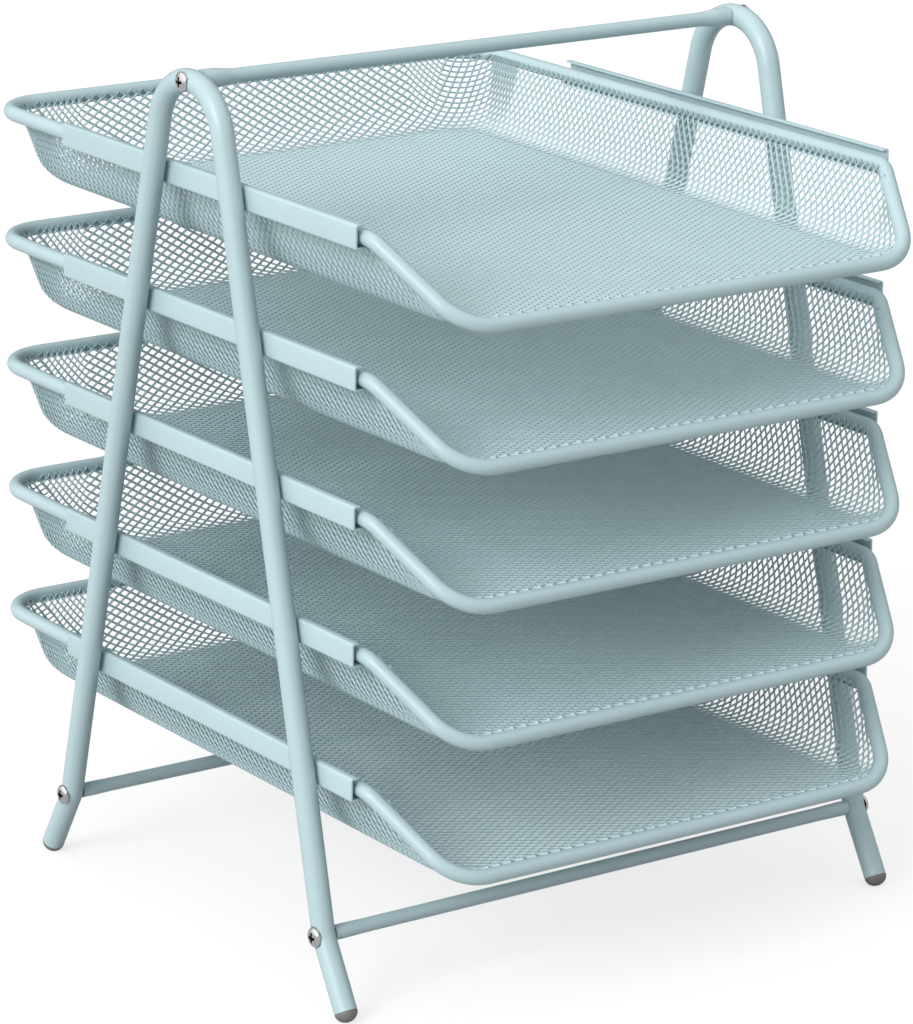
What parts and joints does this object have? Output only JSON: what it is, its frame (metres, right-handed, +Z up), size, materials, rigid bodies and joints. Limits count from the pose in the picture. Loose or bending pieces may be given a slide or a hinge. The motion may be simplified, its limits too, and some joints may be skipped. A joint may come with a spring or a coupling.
{
  "type": "mesh desk organizer",
  "caption": "Stacked letter tray organizer: sliding expanded-mesh trays with wire rims, in folded rails between two arched tube side frames.",
  "frame": {"origin": "on the floor, under the middle of the overall box with the trays pushed in", "axes": "+Z up, -Y towards the front where the trays slide out, +X to the right seen from the front"},
  "size_m": [0.3128, 0.3653, 0.3982],
  "materials": {
    "tube_paint": "satin powder coat",
    "rail_paint": "satin powder coat",
    "wire_paint": "satin powder coat",
    "mesh_paint": "satin powder coat",
    "screw_chrome": "polished",
    "plug_plastic": "matte"
  },
  "bodies": {
    "frame": {"side_frame_left": "tube_paint", "side_frame_right": "tube_paint", "top_cross_bar": "tube_paint", "front_cross_bar": "tube_paint", "rear_cross_bar": "tube_paint", "screw_left_top": "screw_chrome", "screw_left_front": "screw_chrome", "screw_left_rear": "screw_chrome", "foot_left_front": "plug_plastic", "foot_left_rear": "plug_plastic", "rail_left_1": "rail_paint", "rail_left_2": "rail_paint", "rail_left_3": "rail_paint", "rail_left_4": "rail_paint", "rail_left_5": "rail_paint", "screw_right_top": "screw_chrome", "screw_right_front": "screw_chrome", "screw_right_rear": "screw_chrome", "foot_right_front": "plug_plastic", "foot_right_rear": "plug_plastic", "rail_right_1": "rail_paint", "rail_right_2": "rail_paint", "rail_right_3": "rail_paint", "rail_right_4": "rail_paint", "rail_right_5": "rail_paint"},
    "tray_1": {"tray_rim_1": "wire_paint", "tray_mesh_1": "mesh_paint"},
    "tray_2": {"tray_rim_2": "wire_paint", "tray_mesh_2": "mesh_paint"},
    "tray_3": {"tray_rim_3": "wire_paint", "tray_mesh_3": "mesh_paint"},
    "tray_4": {"tray_rim_4": "wire_paint", "tray_mesh_4": "mesh_paint"},
    "tray_5": {"tray_rim_5": "wire_paint", "tray_mesh_5": "mesh_paint"}
  },
  "joints": [
    {"name": "tray_1_slide", "type": "slide", "parent": "frame", "child": "tray_1", "axis": [0, -1, 0], "range_m": [0, 0.19]},
    {"name": "tray_2_slide", "type": "slide", "parent": "frame", "child": "tray_2", "axis": [0, -1, 0], "range_m": [0, 0.19]},
    {"name": "tray_3_slide", "type": "slide", "parent": "frame", "child": "tray_3", "axis": [0, -1, 0], "range_m": [0, 0.19]},
    {"name": "tray_4_slide", "type": "slide", "parent": "frame", "child": "tray_4", "axis": [0, -1, 0], "range_m": [0, 0.19]},
    {"name": "tray_5_slide", "type": "slide", "parent": "frame", "child": "tray_5", "axis": [0, -1, 0], "range_m": [0, 0.19]}
  ]
}
